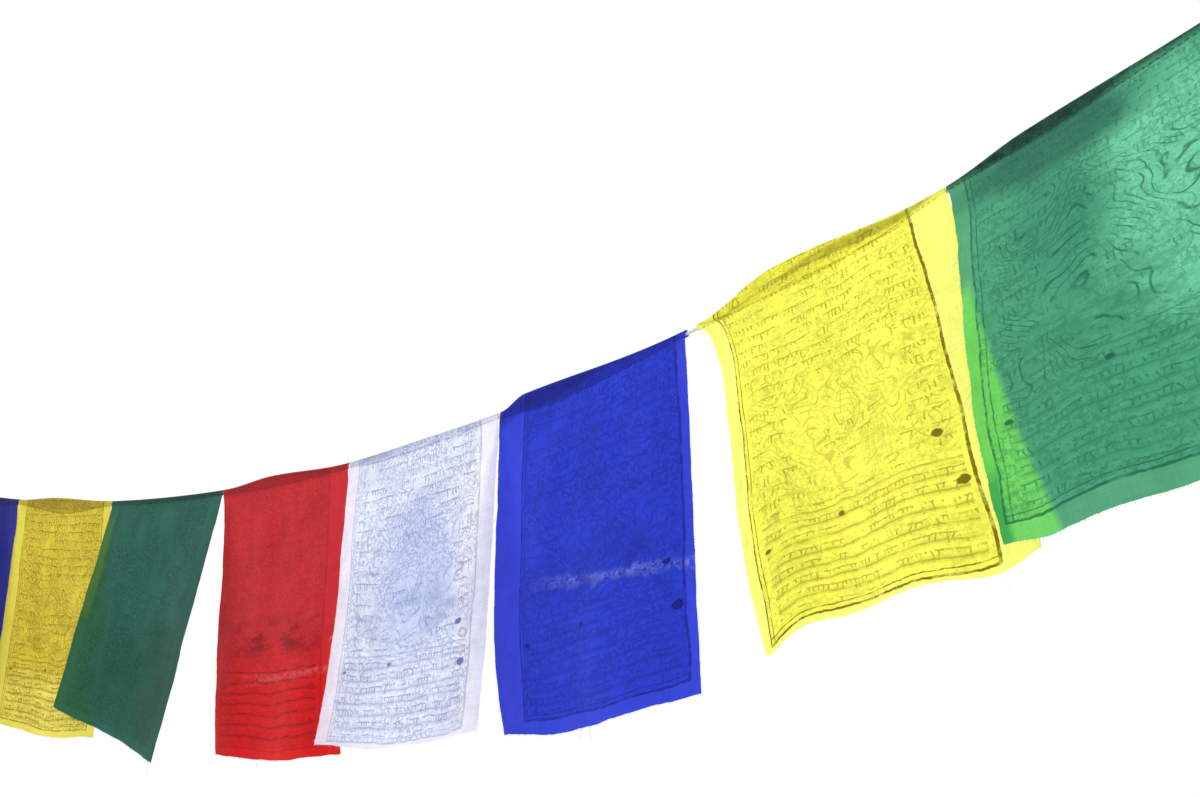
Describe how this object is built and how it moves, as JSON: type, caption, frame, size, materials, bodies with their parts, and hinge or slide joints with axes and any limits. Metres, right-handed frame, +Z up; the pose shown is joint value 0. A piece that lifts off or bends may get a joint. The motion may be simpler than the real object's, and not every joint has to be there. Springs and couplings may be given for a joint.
{
  "type": "tibetan prayer flag string",
  "caption": "String of thin cotton flags in five colours, each hemmed over one header cord that is tied in a loop at both ends.",
  "frame": {"origin": "the tip of the left end loop, where the string is held up", "axes": "+X along the string from its left end to its right, -Y towards the viewer, whom the printed faces look at, +Z up"},
  "size_m": [1.5718, 0.1405, 0.3874],
  "materials": {
    "blue_cotton": "matt thin plain-weave cotton, block printed",
    "yellow_cotton": "matt thin plain-weave cotton, block printed",
    "green_cotton": "matt thin plain-weave cotton, block printed",
    "red_cotton": "matt thin plain-weave cotton, block printed",
    "white_cotton": "matt thin plain-weave cotton, block printed",
    "cord": "matt twisted cotton cord"
  },
  "bodies": {
    "root": {"flag_1_blue": "blue_cotton", "flag_2_yellow": "yellow_cotton", "flag_3_green": "green_cotton", "flag_4_red": "red_cotton", "flag_5_white": "white_cotton", "flag_6_blue": "blue_cotton", "flag_7_yellow": "yellow_cotton", "flag_8_green": "green_cotton", "header_cord": "cord", "left_loop": "cord", "right_loop": "cord"}
  },
  "joints": []
}
